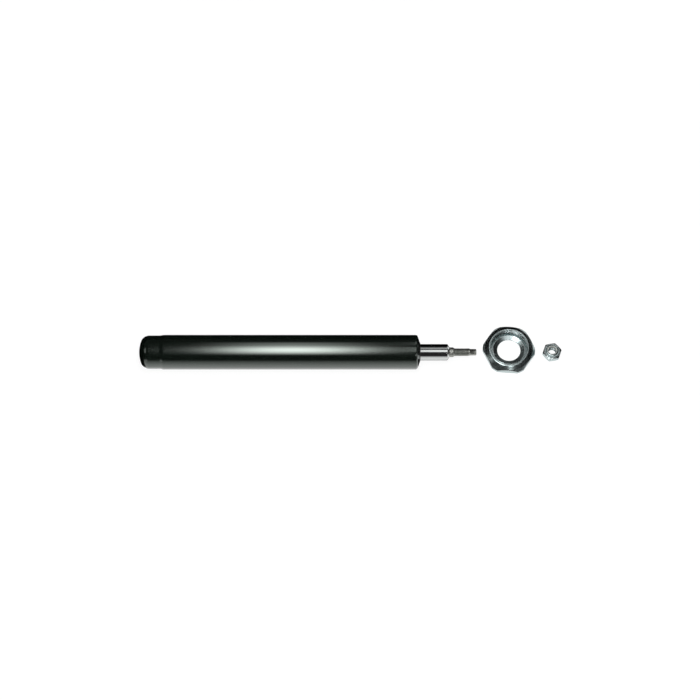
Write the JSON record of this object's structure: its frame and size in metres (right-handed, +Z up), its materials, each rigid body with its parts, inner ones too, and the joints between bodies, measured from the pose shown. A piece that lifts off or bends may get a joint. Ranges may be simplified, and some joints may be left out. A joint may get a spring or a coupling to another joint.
{
  "type": "strut damper cartridge",
  "caption": "Twin-tube oil damper cartridge for a suspension strut: black domed housing, sliding chromed rod with a threaded stud, and its loose gland nut and locking rod nut.",
  "frame": {"origin": "on the cartridge's axis, at the lowest point of its domed foot, where it seats in the strut", "axes": "+X along the axis towards the rod's stud, +Z up from the surface that the cartridge lies on"},
  "size_m": [0.5203, 0.0641, 0.043],
  "materials": {
    "black_enamel": "baked semi-gloss black enamel on drawn steel tube",
    "hard_chrome": "ground and hard-chromed rod, bare turned steel on its stud",
    "zinc_plate": "bright zinc plate on machined steel",
    "nylon": "moulded nylon",
    "seal_rubber": "moulded nitrile rubber",
    "drawn_steel": "cold-drawn and turned steel",
    "sintered_iron": "sintered iron",
    "bearing_bronze": "bronze bearing strip",
    "band_plastic": "filled fluoropolymer",
    "spring_steel": "blued spring steel"
  },
  "bodies": {
    "cartridge": {"reserve_tube": "black_enamel", "pressure_tube": "drawn_steel", "seal_carrier": "drawn_steel", "rod_seal": "seal_rubber", "garter_spring": "spring_steel", "rod_guide": "sintered_iron", "guide_bush": "bearing_bronze", "guide_o_ring": "seal_rubber", "foot_valve_body": "sintered_iron", "foot_valve_bolt": "drawn_steel", "foot_valve_shims": "spring_steel", "foot_valve_washer": "drawn_steel", "foot_valve_nut": "drawn_steel", "foot_intake_spring": "spring_steel"},
    "foot_intake": {"foot_intake_plate": "spring_steel"},
    "band": {"piston_band": "band_plastic"},
    "rod": {"piston_rod": "hard_chrome", "piston": "sintered_iron", "piston_intake_spring": "spring_steel", "piston_intake_stop": "drawn_steel", "rebound_spring": "spring_steel", "piston_nut": "drawn_steel", "rebound_stop_clip": "spring_steel", "rebound_stop_collar": "drawn_steel", "rebound_bumper": "seal_rubber"},
    "piston_intake": {"piston_intake_plate": "spring_steel"},
    "rebound_valve": {"rebound_shims": "spring_steel", "rebound_spring_seat": "drawn_steel"},
    "gland_nut": {"gland_nut": "zinc_plate"},
    "lock_nut": {"lock_nut": "zinc_plate", "lock_nut_insert": "nylon"}
  },
  "joints": [
    {"name": "rod_slide", "type": "slide", "parent": "cartridge", "child": "band", "axis": [1, 0, 0], "range_m": [-0.005, 0.15]},
    {"name": "rod_turn", "type": "hinge", "parent": "band", "child": "rod", "pos_m": [0.2, 0, 0], "axis": [1, 0, 0], "continuous": true},
    {"name": "piston_intake_lift", "type": "slide", "parent": "rod", "child": "piston_intake", "axis": [1, 0, 0], "range_m": [0, 0.001], "stiffness_N_per_m": 300, "deforming": ["piston_intake_spring"]},
    {"name": "rebound_valve_lift", "type": "slide", "parent": "rod", "child": "rebound_valve", "axis": [-1, 0, 0], "range_m": [0, 0.001], "stiffness_N_per_m": 1000, "deforming": ["rebound_spring"]},
    {"name": "foot_intake_lift", "type": "slide", "parent": "cartridge", "child": "foot_intake", "axis": [1, 0, 0], "range_m": [0, 0.001], "stiffness_N_per_m": 300, "deforming": ["foot_intake_spring"]},
    {"name": "gland_nut_lift", "type": "slide", "parent": "cartridge", "child": "gland_nut", "axis": [0, 0, 1], "range_m": [0, 0.08]},
    {"name": "lock_nut_lift", "type": "slide", "parent": "cartridge", "child": "lock_nut", "axis": [0, 0, 1], "range_m": [0, 0.08]}
  ]
}
